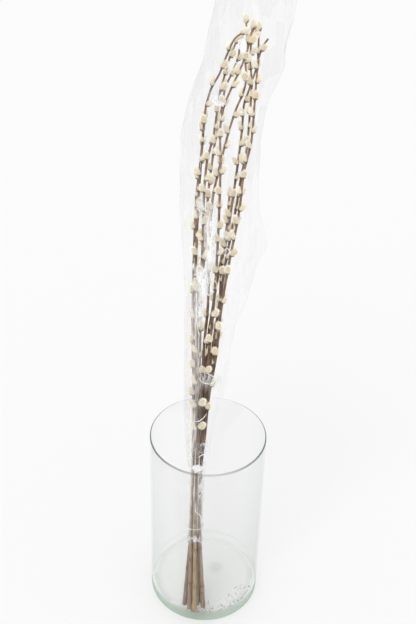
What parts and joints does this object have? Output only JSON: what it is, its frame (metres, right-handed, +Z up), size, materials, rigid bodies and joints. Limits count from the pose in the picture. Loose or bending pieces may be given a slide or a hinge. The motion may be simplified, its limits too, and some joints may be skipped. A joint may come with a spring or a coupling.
{
  "type": "bunch of dried pussy willow stems in a glass cylinder vase",
  "caption": "Dried pussy willow stems with silky catkins, tied inside a clear film sleeve, leaning in a clear glass cylinder vase.",
  "frame": {"origin": "centre of the vase's underside, on the surface it stands on", "axes": "+Z up along the vase; +Y is the side of the rim that the bunch leans on; +X is to the right of the bunch seen from the side of its feet"},
  "size_m": [0.174, 0.3683, 0.7949],
  "materials": {
    "vase_glass": "clear soda-lime glass with a faint green edge",
    "willow_bark": "dry smooth bark, tan at the feet and purple-brown above",
    "catkin_silk": "fine cream hairs, matt and silky",
    "clear_film": "crisp clear cellophane, creased",
    "white_elastic": "covered elastic, off-white"
  },
  "bodies": {
    "root": {"vase": "vase_glass", "stem_01": "willow_bark", "stem_02": "willow_bark", "stem_03": "willow_bark", "stem_04": "willow_bark", "stem_05": "willow_bark", "stem_06": "willow_bark", "stem_07": "willow_bark", "stem_08": "willow_bark", "stem_09": "willow_bark", "stem_10": "willow_bark", "film_sleeve": "clear_film", "tie_band": "white_elastic"}
  },
  "joints": []
}
